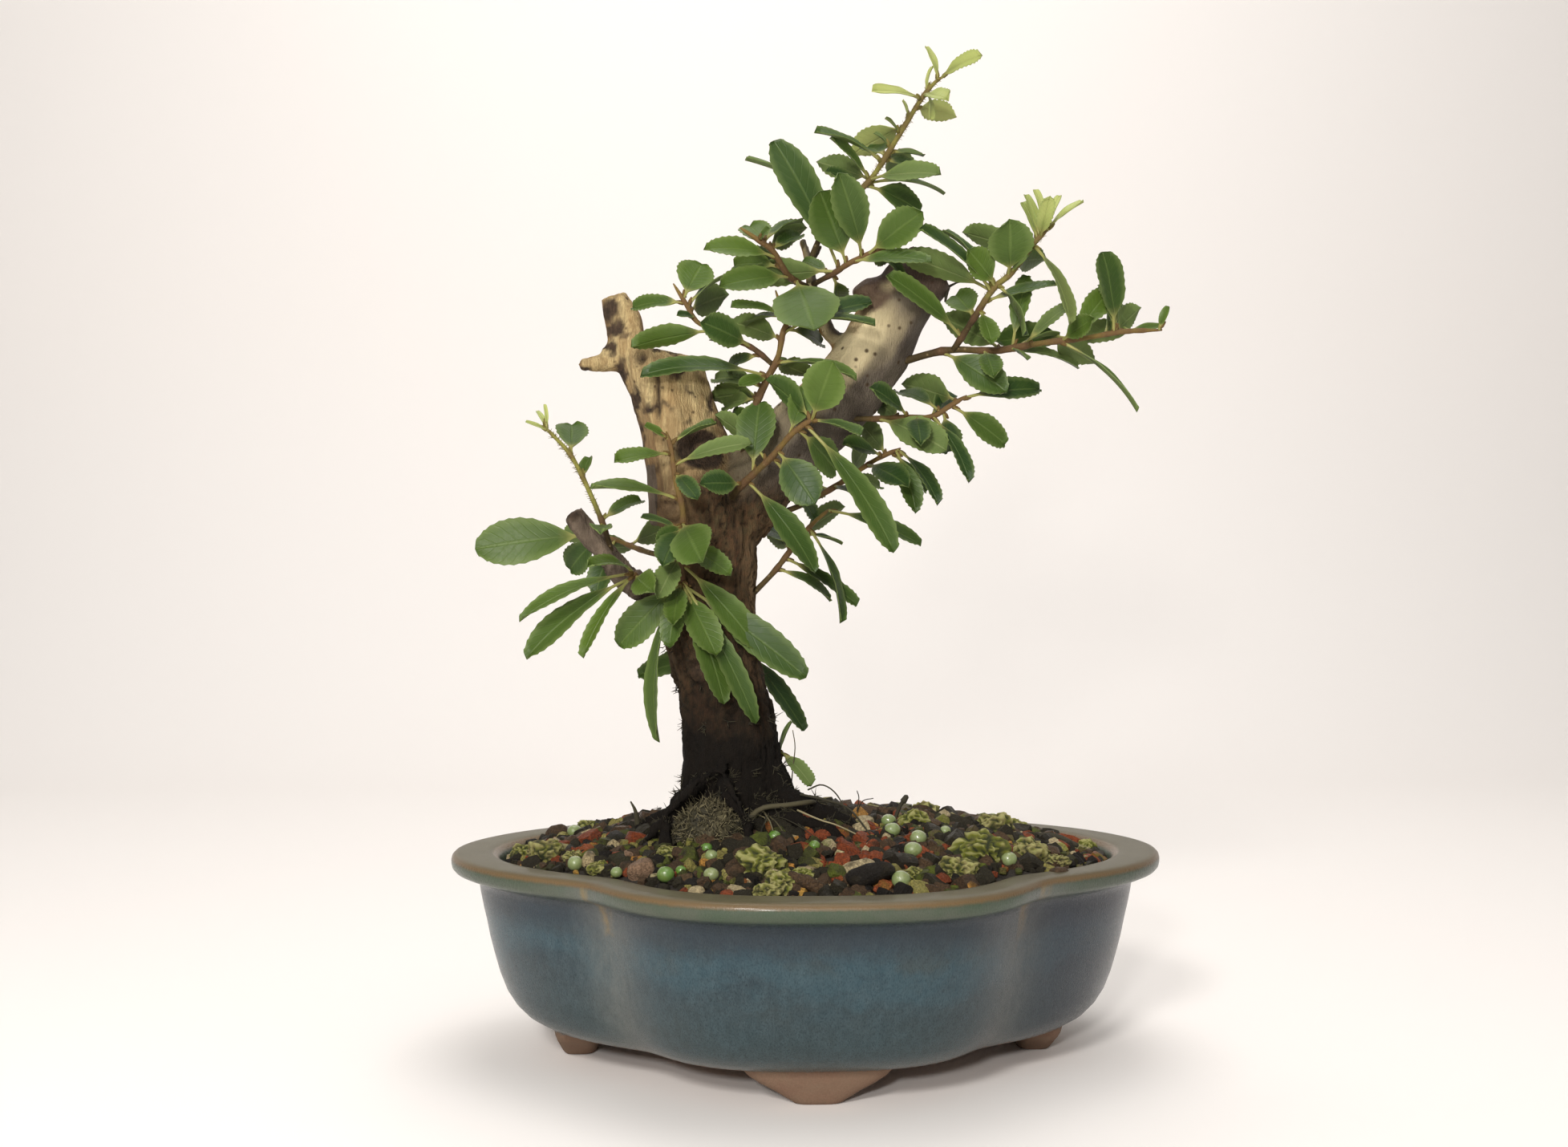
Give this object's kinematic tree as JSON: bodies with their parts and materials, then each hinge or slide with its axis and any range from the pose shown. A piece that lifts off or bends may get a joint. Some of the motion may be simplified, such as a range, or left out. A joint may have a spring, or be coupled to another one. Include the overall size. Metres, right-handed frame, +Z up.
{
  "type": "firethorn bonsai in pot",
  "caption": "Firethorn bonsai with a forked trunk, bare deadwood stub and leafy shoots, planted in gritty soil in a glazed lobed pot on low clay feet.",
  "frame": {"origin": "on the ground under the middle of the pot", "axes": "+Z up, +X along the pot to the right as seen from the front, +Y to the back"},
  "size_m": [0.156, 0.134, 0.2177],
  "materials": {
    "glaze": "glossy glaze on stoneware, bare clay on the feet",
    "plastic": "matte",
    "soil": "matte",
    "moss": "matte",
    "bark": "matte",
    "leaf": "satin",
    "young_leaf": "satin"
  },
  "bodies": {
    "root": {"pot": "glaze", "drain_screen_left": "plastic", "drain_screen_right": "plastic", "soil": "soil", "moss_clump": "moss", "trunk": "bark", "spray_upper": "leaf", "shoot_fork": "leaf", "shoot_front": "leaf", "spray_right": "leaf", "spray_centre": "leaf", "shoot_top": "young_leaf", "shoot_stub": "leaf", "shoot_low_left": "leaf", "shoot_left_back": "leaf", "shoot_right_inner": "leaf", "shoot_right_mid": "leaf", "shoot_right_low": "leaf", "shoot_back": "leaf", "sucker": "leaf"}
  },
  "joints": []
}
